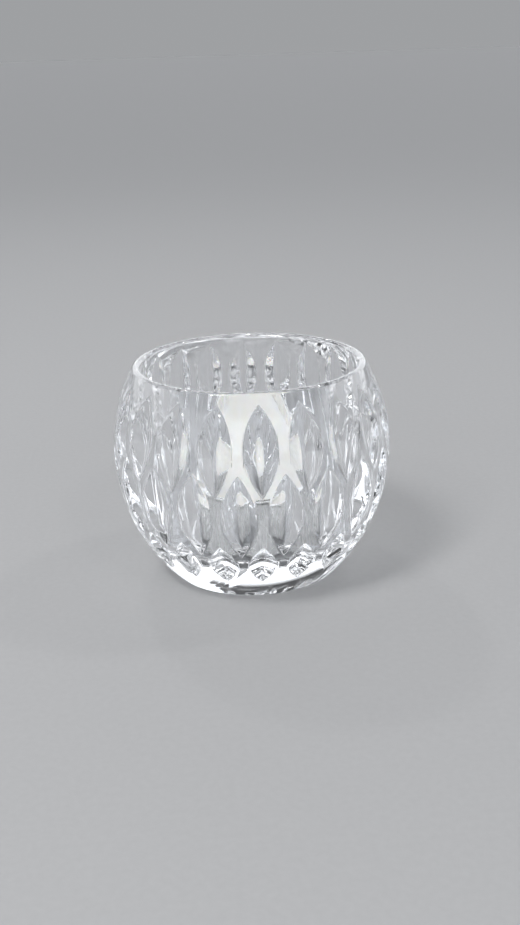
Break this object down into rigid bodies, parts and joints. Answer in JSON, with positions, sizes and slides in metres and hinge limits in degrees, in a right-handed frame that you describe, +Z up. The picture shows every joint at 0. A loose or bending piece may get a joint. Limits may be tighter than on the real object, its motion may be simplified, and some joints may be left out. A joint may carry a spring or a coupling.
{
  "type": "tealight holder",
  "caption": "Thick pressed-glass globe with rows of pointed cut leaves, holding a tealight in its open well.",
  "frame": {"origin": "centre of the base, on the surface the holder stands on", "axes": "+Z up along the axis of the globe; the middle leaf of the upper row faces -Y"},
  "size_m": [0.09, 0.09, 0.07],
  "materials": {
    "clear_glass": "clear pressed glass, fire-polished",
    "cup_aluminium": "bright drawn foil",
    "candle_wax": "smooth paraffin wax, slightly translucent",
    "tinned_steel": "thin stamped sheet",
    "wick_cotton": "braided cotton, waxed"
  },
  "bodies": {
    "holder": {"glass_body": "clear_glass"},
    "tealight": {"tealight_cup": "cup_aluminium", "wax": "candle_wax", "wick_sustainer": "tinned_steel", "wick": "wick_cotton"}
  },
  "joints": [
    {"name": "tealight_lift", "type": "slide", "parent": "holder", "child": "tealight", "axis": [0, 0, 1], "range_m": [0, 0.09]}
  ]
}
